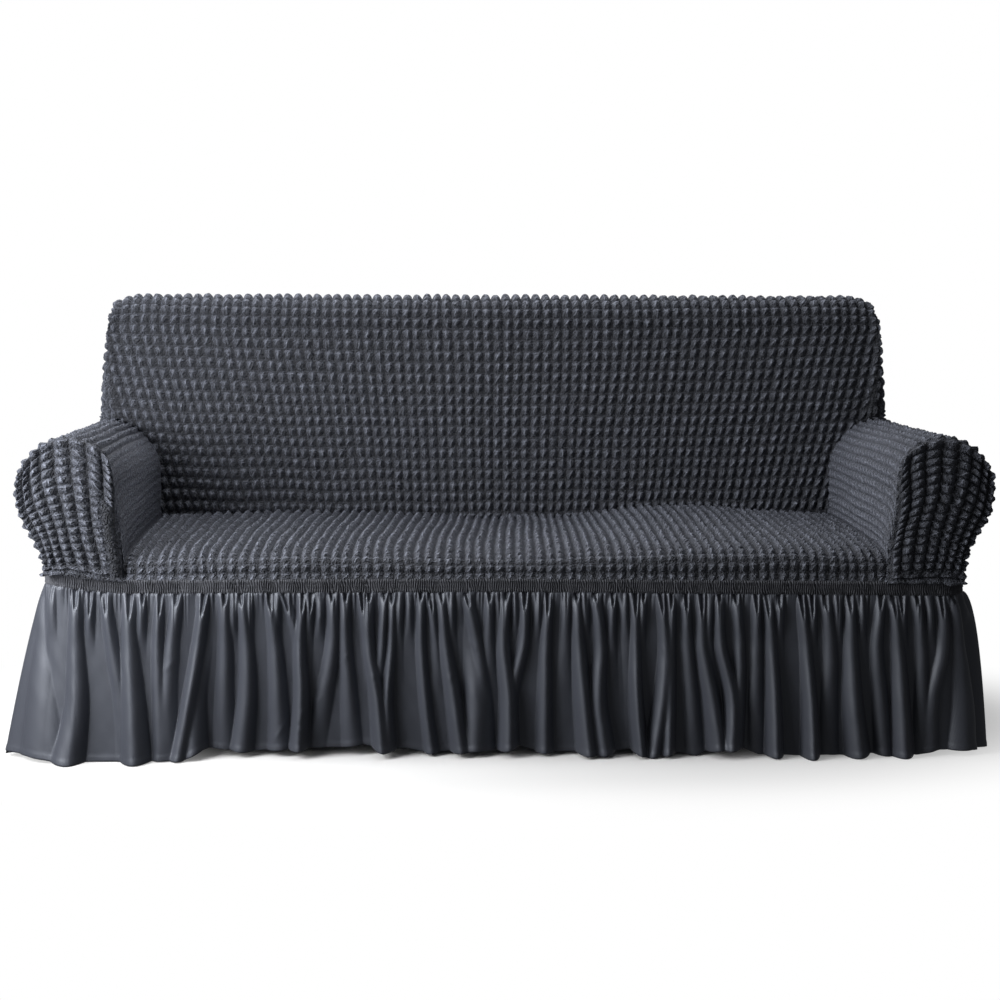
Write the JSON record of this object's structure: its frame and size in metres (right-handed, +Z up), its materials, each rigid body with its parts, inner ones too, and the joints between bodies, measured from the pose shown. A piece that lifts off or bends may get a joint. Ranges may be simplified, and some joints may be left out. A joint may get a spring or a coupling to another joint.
{
  "type": "sofa slipcover",
  "caption": "Fitted stretch cover for a three-seater sofa with arms, in bubble-textured cloth, with a shirred elastic band and a gathered skirt to the floor.",
  "frame": {"origin": "on the floor, under the middle of the cover's box", "axes": "+X to the right as seen from the front, -Y to the front, +Z up"},
  "size_m": [2.0505, 0.9056, 0.944],
  "materials": {
    "bubble_cloth": "matt smocked stretch cloth, charcoal",
    "shirred_band": "shirred elastic cloth, charcoal",
    "skirt_satin": "smooth soft-sheen woven cloth, charcoal"
  },
  "bodies": {
    "root": {"inside_back": "bubble_cloth", "outside_back": "bubble_cloth", "back_end_left": "bubble_cloth", "back_end_right": "bubble_cloth", "seat_panel": "bubble_cloth", "arm_sleeve_left": "bubble_cloth", "arm_sleeve_right": "bubble_cloth", "arm_front_left": "bubble_cloth", "arm_front_right": "bubble_cloth", "gather_band": "shirred_band", "skirt_front": "skirt_satin", "skirt_left": "skirt_satin", "skirt_right": "skirt_satin", "skirt_back": "skirt_satin"}
  },
  "joints": []
}
